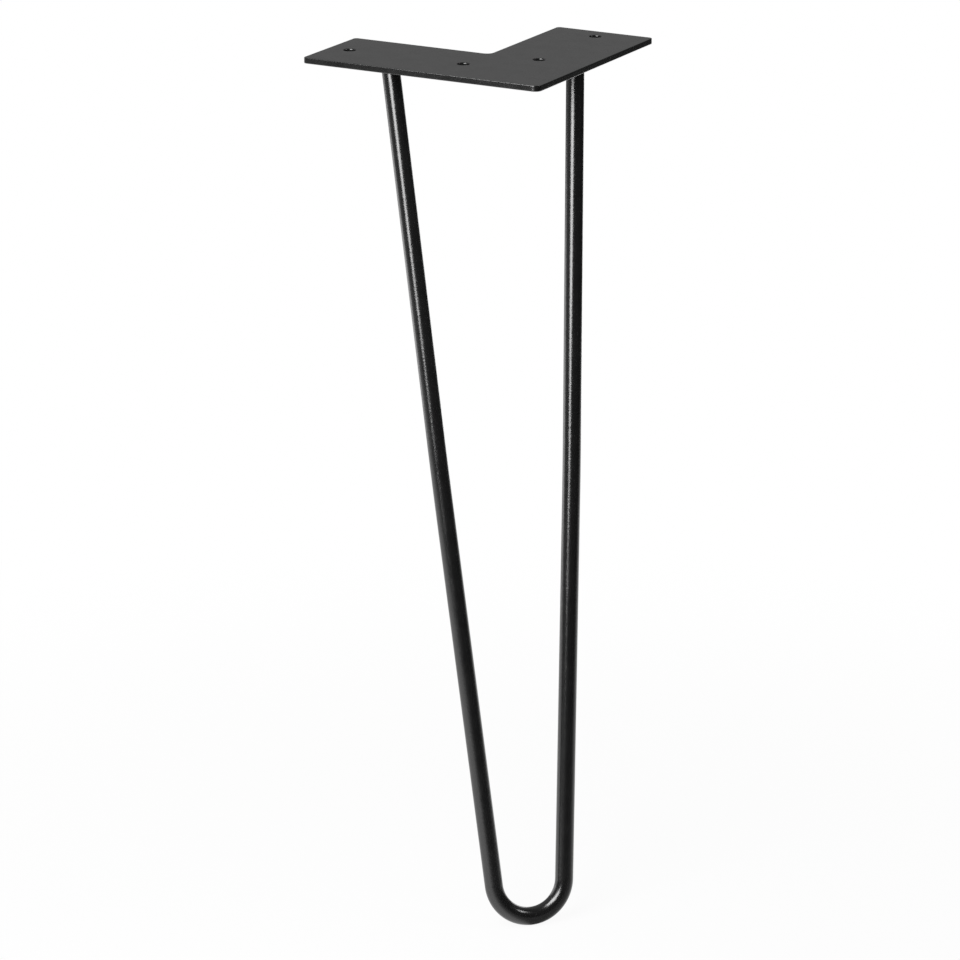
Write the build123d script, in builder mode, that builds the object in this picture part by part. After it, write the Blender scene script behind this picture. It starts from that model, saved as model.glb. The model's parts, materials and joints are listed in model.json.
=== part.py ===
"""Hairpin table leg: an L-shaped plate with one round bar bent into a hairpin and welded under it.

The origin is where the centrelines of the plate's two arms cross, on the face that meets the table top.
+Z points up into the table, X runs across the hairpin, and the plate's outer corner points to -Y.
"""
import os
from math import acos, atan2, cos, degrees, hypot, sin, sqrt, tan

from build123d import *

# Mounting plate
arm_length = 140.7  # outer corner to the end of an arm, along its outside edge
arm_width = 58.2
plate_thickness = 3.2
elbow_radius = 4.0  # the outer and the inner corner, where the arms meet
end_radius = 2.2  # the corners at the ends of the arms
edge_rounding = 0.3  # top and bottom edges of the outline

# Screw holes, on the centreline of each arm
hole_diameter = 6.5
hole_end_margin = 12.6  # outermost hole to the end of its arm
hole_spacing = 69.0  # between the two holes of an arm

# Hairpin bar
bar_diameter = 10.0
bend_radius = 20.4  # at the centreline of the bar
leg_bow = 1.1  # how far the middle of a leg stands out from a straight line
bow_radius = 4000.0  # at the centreline, half way up a leg
bar_end_margin = 37.2  # centre of a bar end to the end of its arm
leg_height = 468.4  # table face of the plate to the floor
foot_reach = 51.5  # foot outwards from the origin, towards the outer corner

# Weld beads
weld_size = 3.0
weld_root = 0.5  # how far the face of a bead runs on inside the bar

os.makedirs("parts", exist_ok=True)

# The arms run at 45 degrees to each side of the Y axis, one along each axis of the plate's own plane
arms_plane = Plane.XY.rotated((0, 0, 45))
underside = Plane.XY.offset(-plate_thickness)
arm_outside = -arm_width / 2
arm_inside = arm_width / 2
arm_end = arm_length - arm_width / 2

corners = [
    (arm_outside, arm_outside),
    (arm_end, arm_outside),
    (arm_end, arm_inside),
    (arm_inside, arm_inside),
    (arm_inside, arm_end),
    (arm_outside, arm_end),
]

with BuildPart() as mounting_plate:
    with BuildSketch(arms_plane) as outline:
        with BuildLine():
            Polyline(*corners, close=True)
        make_face()
        for corner in corners:
            at_elbow = corner[0] == corner[1]
            radius = elbow_radius if at_elbow else end_radius
            fillet(outline.vertices().sort_by_distance(corner)[0], radius)
    extrude(amount=-plate_thickness)
    top_edges = mounting_plate.faces().sort_by(Axis.Z)[-1].edges()
    bottom_edges = mounting_plate.faces().sort_by(Axis.Z)[0].edges()
    fillet(top_edges + bottom_edges, edge_rounding)
    outer_hole = arm_end - hole_end_margin
    inner_hole = outer_hole - hole_spacing
    with Locations(arms_plane):
        with Locations((inner_hole, 0), (outer_hole, 0), (0, inner_hole), (0, outer_hole)):
            Hole(hole_diameter / 2)

# The bar's ends, where its centreline meets the underside of the plate
bar_radius = bar_diameter / 2
bar_end = (arm_end - bar_end_margin) / sqrt(2)

# The hairpin lies in a plane that leans outwards from the bar ends to the foot
foot_depth = leg_height - bar_radius
lean = atan2(bar_end + foot_reach, foot_depth - plate_thickness)
slope_length = hypot(bar_end + foot_reach, foot_depth - plate_thickness)
foot = (0, -foot_reach, -foot_depth)
hairpin_plane = Plane(origin=foot, x_dir=(1, 0, 0), z_dir=(0, -cos(lean), sin(lean)))

# Each leg of the hairpin runs from a bar end to a tangent of the bend, and its middle stands out a little
bend_drop = slope_length - bend_radius
chord_splay = acos(bend_radius / hypot(bar_end, bend_drop)) - atan2(bend_drop, bar_end)
middle_x = (bar_end + bend_radius * cos(chord_splay)) / 2 + leg_bow * cos(chord_splay)
middle_y = (slope_length + bend_radius * (1 - sin(chord_splay))) / 2 - leg_bow * sin(chord_splay)
middle_drop = middle_y - bend_radius
lower_splay = acos(bend_radius / hypot(middle_x, middle_drop)) - atan2(middle_drop, middle_x)
tangent_x = bend_radius * cos(lower_splay)
tangent_y = bend_radius * (1 - sin(lower_splay))
splay = atan2(bar_end - middle_x, slope_length - middle_y)
trim_length = bar_diameter  # the bar is cut from a longer one along the underside
trim_x = bar_end + trim_length * sin(splay)
trim_y = slope_length + trim_length * cos(splay)

with BuildPart() as hairpin_rod:
    with BuildLine(hairpin_plane) as centreline:
        FilletPolyline((-trim_x, trim_y), (-middle_x, middle_y), (-tangent_x, tangent_y), radius=bow_radius)
        CenterArc((0, bend_radius), bend_radius, 180 + degrees(lower_splay), 180 - 2 * degrees(lower_splay))
        FilletPolyline((tangent_x, tangent_y), (middle_x, middle_y), (trim_x, trim_y), radius=bow_radius)
    path = centreline.wire()
    with BuildSketch(Plane(origin=path @ 0, z_dir=path % 0)):
        Circle(bar_radius)
    sweep(path=path)
    split(bisect_by=underside, keep=Keep.BOTTOM)

mounting_plate.part.label = "mounting_plate"
export_step(mounting_plate.part, "parts/mounting_plate.step")
hairpin_rod.part.label = "hairpin_rod"
export_step(hairpin_rod.part, "parts/hairpin_rod.step")

# A weld bead runs round each bar end, in the corner between the bar and the plate
bead_depth = weld_size + weld_root
root_in = bead_depth * tan(splay) / cos(lean)
root_out = bead_depth * tan(lean)
for side, sign in (("left", -1), ("right", 1)):
    bar_direction = hairpin_plane.x_dir * sign * sin(splay) + hairpin_plane.y_dir * cos(splay)
    bar_section = Plane(origin=(sign * bar_end, bar_end, -plate_thickness), z_dir=bar_direction)
    with BuildPart() as weld_bead:
        with BuildSketch(underside):
            with Locations((sign * bar_end, bar_end)):
                Circle(bar_radius + weld_size)
        with BuildSketch(underside.offset(-bead_depth)):
            with Locations((sign * (bar_end - root_in), bar_end - root_out)):
                Circle(bar_radius - weld_root)
        loft()
        with BuildSketch(bar_section):
            Circle(bar_radius)
        extrude(amount=trim_length, both=True, mode=Mode.SUBTRACT)
    weld_bead.part.label = f"{side}_weld_bead"
    export_step(weld_bead.part, f"parts/{side}_weld_bead.step")
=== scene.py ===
import json
from math import acos, atan2, cos, hypot, pi, radians, sin, sqrt, tan

import bmesh
import bpy
from mathutils import Matrix, Vector


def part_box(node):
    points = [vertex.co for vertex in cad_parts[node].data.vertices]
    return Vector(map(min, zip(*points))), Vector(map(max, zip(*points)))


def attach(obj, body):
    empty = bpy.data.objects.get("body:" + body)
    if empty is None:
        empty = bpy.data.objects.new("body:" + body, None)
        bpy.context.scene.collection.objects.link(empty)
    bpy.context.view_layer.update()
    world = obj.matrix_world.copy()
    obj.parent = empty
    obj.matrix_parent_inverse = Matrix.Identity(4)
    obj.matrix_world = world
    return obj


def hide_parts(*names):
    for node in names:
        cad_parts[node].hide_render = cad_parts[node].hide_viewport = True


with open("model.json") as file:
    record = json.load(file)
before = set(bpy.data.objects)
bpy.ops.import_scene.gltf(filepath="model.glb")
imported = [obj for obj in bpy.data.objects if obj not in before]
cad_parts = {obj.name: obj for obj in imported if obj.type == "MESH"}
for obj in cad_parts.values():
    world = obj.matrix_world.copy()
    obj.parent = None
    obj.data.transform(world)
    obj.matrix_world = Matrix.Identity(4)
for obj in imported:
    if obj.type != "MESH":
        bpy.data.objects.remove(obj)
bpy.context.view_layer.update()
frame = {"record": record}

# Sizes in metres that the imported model's boxes don't give
ELBOW_RADIUS = 0.0040  # the plate's outer and inner corner, where its arms meet
END_RADIUS = 0.0022  # the corners at the ends of the plate's arms
EDGE_ROUNDING = 0.0003  # top and bottom edges of the plate's outline
HOLE_ROUNDING = 0.0006  # the coat's soft edge round a screw hole
BEND_RADIUS = 0.0204  # at the centreline of the bar
LEG_BOW = 0.0011  # how far the middle of a leg stands out from a straight line
BOW_RADIUS = 4.0  # at the centreline, half way up a leg

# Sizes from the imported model
plate_low, plate_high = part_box("mounting_plate")
rod_low, rod_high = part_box("hairpin_rod")
weld_low, weld_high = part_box("right_weld_bead")
corner_cut = sqrt(2) - 1  # how far a rounding draws a corner back along its diagonal, in radii
arm_length = (plate_high.x + END_RADIUS * corner_cut) * sqrt(2)
arm_width = (ELBOW_RADIUS * corner_cut - plate_low.y) * sqrt(2)
plate_thickness = plate_high.z - plate_low.z
underside = plate_low.z
weld_size = weld_high.z - weld_low.z
bar_end = (weld_low.x + weld_high.x) / 2
bar_radius = (weld_high.x - weld_low.x) / 2 - weld_size
foot = Vector((0, rod_low.y + bar_radius, rod_low.z + bar_radius))
floor_height = rod_low.z

# The hairpin's own plane leans outwards from the bar ends to the foot
lean = atan2(bar_end - foot.y, underside - foot.z)
slope_length = hypot(bar_end - foot.y, underside - foot.z)
up_slope = Vector((0, sin(lean), cos(lean)))
off_plane = Vector((0, -cos(lean), sin(lean)))

# Each leg of the hairpin runs from a bar end to a tangent of the bend, and its middle stands out a little
bend_drop = slope_length - BEND_RADIUS
chord_splay = acos(BEND_RADIUS / hypot(bar_end, bend_drop)) - atan2(bend_drop, bar_end)
middle_across = (bar_end + BEND_RADIUS * cos(chord_splay)) / 2 + LEG_BOW * cos(chord_splay)
middle_up = (slope_length + BEND_RADIUS * (1 - sin(chord_splay))) / 2 - LEG_BOW * sin(chord_splay)
middle_drop = middle_up - BEND_RADIUS
lower_splay = acos(BEND_RADIUS / hypot(middle_across, middle_drop)) - atan2(middle_drop, middle_across)
splay = atan2(bar_end - middle_across, slope_length - middle_up)


def powder_coat():
    """Satin black powder coat: a fine orange peel, with slightly uneven gloss and tone."""
    material = bpy.data.materials.new("black_powder_coat")
    material.use_nodes = True
    nodes = material.node_tree.nodes
    links = material.node_tree.links
    shader = nodes["Principled BSDF"]
    shader.inputs["IOR"].default_value = 1.55
    shader.inputs["Specular IOR Level"].default_value = 1
    place = nodes.new("ShaderNodeTexCoord")

    def noise(scale, detail):
        texture = nodes.new("ShaderNodeTexNoise")
        texture.inputs["Scale"].default_value = scale
        texture.inputs["Detail"].default_value = detail
        links.new(place.outputs["Object"], texture.inputs["Vector"])
        return texture.outputs["Fac"]

    tone = nodes.new("ShaderNodeValToRGB")
    tone.color_ramp.elements[0].position = 0.35
    tone.color_ramp.elements[0].color = (0.0042, 0.0042, 0.0043, 1)
    tone.color_ramp.elements[1].position = 0.65
    tone.color_ramp.elements[1].color = (0.0062, 0.0062, 0.0063, 1)
    links.new(noise(scale=140, detail=4), tone.inputs["Fac"])
    links.new(tone.outputs["Color"], shader.inputs["Base Color"])

    gloss = nodes.new("ShaderNodeMapRange")
    gloss.inputs["From Min"].default_value = 0.3
    gloss.inputs["From Max"].default_value = 0.7
    gloss.inputs["To Min"].default_value = 0.19
    gloss.inputs["To Max"].default_value = 0.24
    links.new(noise(scale=90, detail=3), gloss.inputs["Value"])
    links.new(gloss.outputs["Result"], shader.inputs["Roughness"])

    peel = nodes.new("ShaderNodeBump")
    peel.inputs["Distance"].default_value = 0.00005
    links.new(noise(scale=700, detail=2), peel.inputs["Height"])
    grain = nodes.new("ShaderNodeBump")
    grain.inputs["Distance"].default_value = 0.00003
    links.new(noise(scale=2200, detail=1), grain.inputs["Height"])
    links.new(peel.outputs["Normal"], grain.inputs["Normal"])
    links.new(grain.outputs["Normal"], shader.inputs["Normal"])
    return material


def add_piece(name, node, mesh_data, material):
    """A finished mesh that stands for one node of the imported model."""
    bmesh.ops.recalc_face_normals(mesh_data, faces=mesh_data.faces)
    mesh = bpy.data.meshes.new(name)
    mesh_data.to_mesh(mesh)
    mesh_data.free()
    mesh.shade_smooth()
    mesh.materials.append(material)
    piece = bpy.data.objects.new(name, mesh)
    bpy.context.scene.collection.objects.link(piece)
    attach(piece, "root")
    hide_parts(node)


def bridge(mesh_data, ring, next_ring):
    """Quads between two closed rings of as many points."""
    for i, point in enumerate(ring):
        j = (i + 1) % len(ring)
        mesh_data.faces.new((point, ring[j], next_ring[j], next_ring[i]))


def plate_outline(inset):
    """The plate's L-shaped outline, drawn in by inset, in the frame's X and Y."""
    corner_steps = 12
    straight_margin = 0.0006  # a point on the straight edge beside each arc keeps that edge flat
    outside = -arm_width / 2
    inside = arm_width / 2
    end = arm_length - arm_width / 2
    corners = [
        Vector((outside, outside)),
        Vector((end, outside)),
        Vector((end, inside)),
        Vector((inside, inside)),
        Vector((inside, end)),
        Vector((outside, end)),
    ]
    inner_corner = corners[3]
    points = []
    for i, corner in enumerate(corners):
        back = (corners[i - 1] - corner).normalized()
        ahead = (corners[(i + 1) % len(corners)] - corner).normalized()
        radius = ELBOW_RADIUS if corner.x == corner.y else END_RADIUS
        drawn_radius = radius + inset if corner == inner_corner else radius - inset
        centre = corner + (back + ahead) * radius
        points.append(centre - ahead * drawn_radius + back * straight_margin)
        for step in range(corner_steps + 1):
            turn = pi / 2 * step / corner_steps
            points.append(centre - (ahead * cos(turn) + back * sin(turn)) * drawn_radius)
        points.append(centre - back * drawn_radius + ahead * straight_margin)
    return [Vector(((p.x - p.y) / sqrt(2), (p.x + p.y) / sqrt(2))) for p in points]


def rounded_wall(rounding):
    """Inset and depth of each ring down a wall whose top and bottom edges are rounded."""
    steps = 5
    flat_margin = 0.0004  # a ring on the flat beside each rounding keeps that face flat
    upper = [(rounding + flat_margin, 0)]
    for step in range(steps + 1):
        turn = pi / 2 * step / steps
        upper.append((rounding * (1 - sin(turn)), rounding * (1 - cos(turn))))
    upper.append((0, rounding + flat_margin))
    lower = [(inset, plate_thickness - depth) for inset, depth in reversed(upper)]
    return upper + lower


def hole_centres():
    """Centres of the screw holes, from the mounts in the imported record."""
    centres = []
    for mount in frame["record"]["mounts"]:
        if mount["kind"] == "bolt_pattern":
            half_spacing = mount["dims"]["spacing_x_mm"] / 2000
            for side in (-1, 1):
                centres.append(Vector((mount["pos_m"][0] + side * half_spacing, mount["pos_m"][1])))
    return centres


def hole_radius():
    """Radius of the screw holes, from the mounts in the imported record."""
    for mount in frame["record"]["mounts"]:
        if mount["kind"] == "bolt_pattern":
            return mount["dims"]["hole_r_mm"] / 1000


def build_plate():
    """The L-shaped plate with rounded edges and four screw holes."""
    hole_steps = 64
    data = bmesh.new()
    walls = []
    rings = []
    for inset, depth in rounded_wall(EDGE_ROUNDING):
        height = plate_high.z - depth
        rings.append([data.verts.new((p.x, p.y, height)) for p in plate_outline(inset)])
    walls.append(rings)
    for centre in hole_centres():
        rings = []
        for inset, depth in rounded_wall(HOLE_ROUNDING):
            radius = hole_radius() + inset
            ring = []
            for step in range(hole_steps):
                turn = 2 * pi * step / hole_steps
                place = (centre.x + radius * cos(turn), centre.y + radius * sin(turn), plate_high.z - depth)
                ring.append(data.verts.new(place))
            rings.append(ring)
        walls.append(rings)
    for rings in walls:
        for ring, next_ring in zip(rings, rings[1:]):
            bridge(data, ring, next_ring)
    for side in (0, -1):
        edges = []
        for rings in walls:
            ring = rings[side]
            for i, point in enumerate(ring):
                edges.append(data.edges.get((point, ring[(i + 1) % len(ring)])))
        bmesh.ops.triangle_fill(data, edges=edges, use_beauty=True, normal=(0, 0, 1))
    return data


def hairpin_centreline():
    """Points along the bar and its direction there, from the left end round the bend to the right end."""
    straight_steps = 12
    bow_steps = 6
    bend_steps = 72

    def straight(start, end, turn):
        """Points from start up to just before end, in the hairpin's own plane."""
        points = []
        for step in range(straight_steps):
            share = step / straight_steps
            across = start[0] + (end[0] - start[0]) * share
            up = start[1] + (end[1] - start[1]) * share
            points.append((across, up, sin(turn), cos(turn)))
        return points

    bow_reach = BOW_RADIUS * tan((lower_splay - splay) / 2)
    tangent = (BEND_RADIUS * cos(lower_splay), BEND_RADIUS * (1 - sin(lower_splay)))
    bow_low = (middle_across - bow_reach * sin(lower_splay), middle_up - bow_reach * cos(lower_splay))
    bow_high = (middle_across + bow_reach * sin(splay), middle_up + bow_reach * cos(splay))
    bow = []
    for step in range(bow_steps):
        turn = lower_splay + (splay - lower_splay) * step / bow_steps
        across = bow_low[0] + BOW_RADIUS * (cos(turn) - cos(lower_splay))
        up = bow_low[1] + BOW_RADIUS * (sin(lower_splay) - sin(turn))
        bow.append((across, up, sin(turn), cos(turn)))
    right_leg = straight(tangent, bow_low, lower_splay) + bow
    right_leg += straight(bow_high, (bar_end, slope_length), splay)
    right_leg.append((bar_end, slope_length, sin(splay), cos(splay)))
    right_leg = right_leg[:0:-1]
    bend = []
    for step in range(bend_steps + 1):
        turn = pi + lower_splay + (pi - 2 * lower_splay) * step / bend_steps
        across = BEND_RADIUS * cos(turn)
        up = BEND_RADIUS * (1 + sin(turn))
        bend.append((across, up, -sin(turn), cos(turn)))
    left_leg = [(-across, up, to_across, -to_up) for across, up, to_across, to_up in right_leg]
    line = []
    for across, up, to_across, to_up in left_leg + bend + right_leg[::-1]:
        point = foot + Vector((across, 0, 0)) + up_slope * up
        direction = Vector((to_across, 0, 0)) + up_slope * to_up
        line.append((point, direction))
    return line


def build_bar():
    """The round bar, bent into a hairpin and cut along the underside of the plate."""
    round_steps = 64
    cut_margin = 0.0004  # a ring just below each cut end keeps the side of the bar straight
    data = bmesh.new()
    line = hairpin_centreline()
    outlines = []
    for index, (point, direction) in enumerate(line):
        sideways = direction.cross(off_plane)
        outline = []
        for step in range(round_steps):
            turn = 2 * pi * step / round_steps
            outline.append(point + (sideways * cos(turn) + off_plane * sin(turn)) * bar_radius)
        if 0 < index < len(line) - 1:
            outlines.append(outline)
            continue
        cut = [place + direction * ((underside - place.z) / direction.z) for place in outline]
        below = [place - direction * (cut_margin / direction.z) for place in cut]
        outlines += [cut, below] if index == 0 else [below, cut]
    rings = [[data.verts.new(place) for place in outline] for outline in outlines]
    for ring, next_ring in zip(rings, rings[1:]):
        bridge(data, ring, next_ring)
    data.faces.new(rings[0])
    data.faces.new(rings[-1])
    return data


def build_weld(side):
    """The weld bead round one bar end, laid in overlapping ripples."""
    ripples = 21
    round_steps = ripples * 12
    face_steps = 10
    crown = 0.00030  # how far the middle of the bead stands out from a flat fillet
    ripple_height = 0.00022
    ripple_bow = 0.35  # how far the middle of a ripple runs ahead, in ripples
    unevenness = 0.04  # share by which the bead's width wanders
    data = bmesh.new()
    axis = Vector((side * sin(splay), 0, 0)) + up_slope * cos(splay)
    rings = []
    for step in range(round_steps):
        turn = 2 * pi * step / round_steps
        outwards = Vector((cos(turn), sin(turn), 0))
        bar_edge = bar_radius / sqrt(1 - outwards.dot(axis) ** 2)
        wander = sin(2 * turn + side) + sin(5 * turn + 2 * side)
        size = weld_size * (1 - unevenness + unevenness / 2 * wander)
        profile = [(0, 0)]
        for face_step in range(face_steps + 1):
            share = face_step / face_steps
            middle = 4 * share * (1 - share)
            phase = (turn * ripples / (2 * pi) + ripple_bow * middle) % 1
            swell = middle * (crown + ripple_height * (sqrt(phase) - 1)) / sqrt(2)
            profile.append((size * (1 - share) + swell, size * share + swell))
        ring = []
        for out, drop in profile:
            centre = Vector((side * bar_end, bar_end, underside)) - axis * (drop / axis.z)
            ring.append(data.verts.new(centre + outwards * (bar_edge + out)))
        rings.append(ring)
    for ring, next_ring in zip(rings, rings[1:] + rings[:1]):
        bridge(data, ring, next_ring)
    return data


def softbox(name, azimuth, distance, height, aim_height, width, tall, radiance, roll=0):
    """An oval lamp beside the leg. Azimuth 0 is in front of the plate's outer corner, 90 to the right."""
    lamp = bpy.data.lights.new(name, "AREA")
    lamp.shape = "ELLIPSE"
    lamp.size = width
    lamp.size_y = tall
    lamp.energy = radiance * pi * (pi / 4 * width * tall)
    box = bpy.data.objects.new(name, lamp)
    bpy.context.scene.collection.objects.link(box)
    turn = radians(azimuth)
    box.location = (distance * sin(turn), -distance * cos(turn), height)
    aim = Vector((0, 0, aim_height)) - box.location
    turned = aim.to_track_quat("-Z", "Y").to_matrix() @ Matrix.Rotation(radians(roll), 3, "Z")
    box.rotation_euler = turned.to_euler()
    box.visible_camera = False


def smooth_range(tree, value, from_range, to_range):
    """A node that carries a value smoothly from one range to another."""
    node = tree.nodes.new("ShaderNodeMapRange")
    node.interpolation_type = "SMOOTHSTEP"
    node.inputs["From Min"].default_value, node.inputs["From Max"].default_value = from_range
    node.inputs["To Min"].default_value, node.inputs["To Max"].default_value = to_range
    tree.links.new(value, node.inputs["Value"])
    return node


def along(tree, vector, azimuth, lift=0):
    """How far a vector points to an azimuth and a lift, both in degrees."""
    node = tree.nodes.new("ShaderNodeVectorMath")
    node.operation = "DOT_PRODUCT"
    turn = radians(azimuth)
    rise = radians(lift)
    node.inputs[1].default_value = (sin(turn) * cos(rise), -cos(turn) * cos(rise), sin(rise))
    tree.links.new(vector, node.inputs[0])
    return node.outputs["Value"]


def mixed(tree, share, first, second):
    """One shader where the share is 0 and another where it is 1."""
    node = tree.nodes.new("ShaderNodeMixShader")
    tree.links.new(share, node.inputs["Fac"])
    tree.links.new(first, node.inputs[1])
    tree.links.new(second, node.inputs[2])
    return node.outputs[0]


def by_ray(tree, camera, mirrored, other):
    """A shader for camera rays, one for glossy and transmission rays, and one for all other rays."""
    path = tree.nodes.new("ShaderNodeLightPath")
    either = tree.nodes.new("ShaderNodeMath")
    either.operation = "MAXIMUM"
    tree.links.new(path.outputs["Is Glossy Ray"], either.inputs[0])
    tree.links.new(path.outputs["Is Transmission Ray"], either.inputs[1])
    unseen = mixed(tree, either.outputs[0], other, mirrored)
    return mixed(tree, path.outputs["Is Camera Ray"], unseen, camera)


def studio_world():
    """White to the camera. Reflections show a grey backdrop behind the leg and a dim room in front."""
    world = bpy.data.worlds.new("studio")
    bpy.context.scene.world = world
    world.use_nodes = True
    tree = world.node_tree
    room = tree.nodes["Background"]
    white = tree.nodes.new("ShaderNodeBackground")
    backdrop = tree.nodes.new("ShaderNodeBackground")
    for background in (room, white, backdrop):
        background.inputs["Color"].default_value = (1, 1, 1, 1)
    white.inputs["Strength"].default_value = 1

    place = tree.nodes.new("ShaderNodeTexCoord")
    height = tree.nodes.new("ShaderNodeSeparateXYZ")
    tree.links.new(place.outputs["Generated"], height.inputs[0])
    overhead = smooth_range(tree, height.outputs["Z"], (0.1, 0.8), (0, 0.35))
    tree.links.new(overhead.outputs["Result"], room.inputs["Strength"])
    behind = along(tree, place.outputs["Generated"], azimuth=202, lift=10)
    shape = smooth_range(tree, behind, (-0.2, 0.7), (0.04, 0.25))
    tree.links.new(shape.outputs["Result"], backdrop.inputs["Strength"])
    seen = by_ray(tree, white.outputs[0], backdrop.outputs[0], room.outputs[0])
    tree.links.new(seen, tree.nodes["World Output"].inputs["Surface"])


def floor_paper():
    """White paper that keeps a soft shadow near the leg.

    Reflections show a painted glow on it instead of lit paper: painted light pale behind the foot, and
    painted shade dimmer in front of it and dark far out.
    """
    material = bpy.data.materials.new("floor_paper")
    material.use_nodes = True
    tree = material.node_tree
    tree.nodes.remove(tree.nodes["Principled BSDF"])
    place = tree.nodes.new("ShaderNodeTexCoord")
    reach = tree.nodes.new("ShaderNodeVectorMath")
    reach.operation = "LENGTH"
    tree.links.new(place.outputs["Object"], reach.inputs[0])
    paper = tree.nodes.new("ShaderNodeBsdfDiffuse")
    paper.inputs["Color"].default_value = (0.8, 0.8, 0.8, 1)
    white = tree.nodes.new("ShaderNodeEmission")
    white.inputs["Strength"].default_value = 1
    near = smooth_range(tree, reach.outputs["Value"], (0.15, 0.7), (0.06, 0))
    shaded = mixed(tree, near.outputs["Result"], white.outputs[0], paper.outputs[0])

    # Painted light: for reflections the floor glows pale behind the foot, with painted shade in front of it
    # and far out, in place of the lamps lighting the paper.
    towards = tree.nodes.new("ShaderNodeVectorMath")
    towards.operation = "NORMALIZE"
    tree.links.new(place.outputs["Object"], towards.inputs[0])
    behind = along(tree, towards.outputs["Vector"], azimuth=205)
    tone = smooth_range(tree, behind, (-0.95, 0), (0.18, 0.9))
    far = smooth_range(tree, behind, (0.1, 0.7), (0.05, 0.3))
    edge = smooth_range(tree, reach.outputs["Value"], (0.9, 1.8), (1, 0))
    tree.links.new(far.outputs["Result"], edge.inputs["To Max"])
    painted_glow_level = tree.nodes.new("ShaderNodeMath")
    painted_glow_level.operation = "MULTIPLY"
    tree.links.new(tone.outputs["Result"], painted_glow_level.inputs[0])
    tree.links.new(edge.outputs["Result"], painted_glow_level.inputs[1])
    # The painted glow that glossy and transmission rays see on the floor.
    painted_floor_glow = tree.nodes.new("ShaderNodeEmission")
    tree.links.new(painted_glow_level.outputs[0], painted_floor_glow.inputs["Strength"])

    seen = by_ray(tree, shaded, painted_floor_glow.outputs[0], paper.outputs[0])
    clear = tree.nodes.new("ShaderNodeBsdfTransparent")
    facing = tree.nodes.new("ShaderNodeNewGeometry")
    sided = mixed(tree, facing.outputs["Backfacing"], seen, clear.outputs[0])
    tree.links.new(sided, tree.nodes["Material Output"].inputs["Surface"])
    return material


def build_floor():
    """A wide sheet of paper at the height of the foot, which belongs to the stage."""
    half = 12.0
    mesh = bpy.data.meshes.new("floor")
    corners = [(-half, -half, 0), (half, -half, 0), (half, half, 0), (-half, half, 0)]
    mesh.from_pydata(corners, [], [(0, 1, 2, 3)])
    mesh.materials.append(floor_paper())
    floor = bpy.data.objects.new("floor", mesh)
    floor.location = (foot.x, foot.y, floor_height)
    bpy.context.scene.collection.objects.link(floor)


def add_camera():
    """The photograph's own view: a long lens, a little above the plate and left of its outer corner."""
    place = (-0.71195, -2.1469, 0.49696)
    azimuth = radians(-17.963)
    pitch = radians(17.766)
    roll = radians(0.711)
    camera_data = bpy.data.cameras.new("camera")
    camera_data.sensor_width = 36
    camera_data.lens = 163.6
    camera_data.clip_end = 100
    camera = bpy.data.objects.new("camera", camera_data)
    bpy.context.scene.collection.objects.link(camera)
    turn = Matrix.Rotation(azimuth, 4, "Z") @ Matrix.Rotation(pi / 2 - pitch, 4, "X")
    turn = turn @ Matrix.Rotation(roll, 4, "Z")
    camera.matrix_world = Matrix.Translation(place) @ turn
    bpy.context.scene.camera = camera


coat = powder_coat()
add_piece("coated_plate", "mounting_plate", build_plate(), coat)
add_piece("coated_bar", "hairpin_rod", build_bar(), coat)
add_piece("coated_left_weld", "left_weld_bead", build_weld(-1), coat)
add_piece("coated_right_weld", "right_weld_bead", build_weld(1), coat)

build_floor()
studio_world()
softbox(
    "key_softbox", azimuth=-51.5, distance=0.62, height=0.26, aim_height=-0.10,
    width=0.48, tall=0.92, radiance=7.2, roll=11,
)
softbox(
    "edge_softbox", azimuth=-77, distance=0.75, height=0.50, aim_height=-0.05,
    width=0.28, tall=0.33, radiance=3,
)
softbox(
    "small_softbox", azimuth=58, distance=1.0, height=0.57, aim_height=-0.45,
    width=0.28, tall=0.33, radiance=7.5,
)
softbox(
    "side_reflector", azimuth=-140, distance=0.90, height=-0.33, aim_height=-0.33,
    width=0.7, tall=0.30, radiance=1.3,
)
softbox(
    "right_reflector", azimuth=145, distance=0.90, height=-0.28, aim_height=-0.28,
    width=0.5, tall=0.40, radiance=1.5,
)
add_camera()
bpy.context.scene.view_settings.view_transform = "Standard"
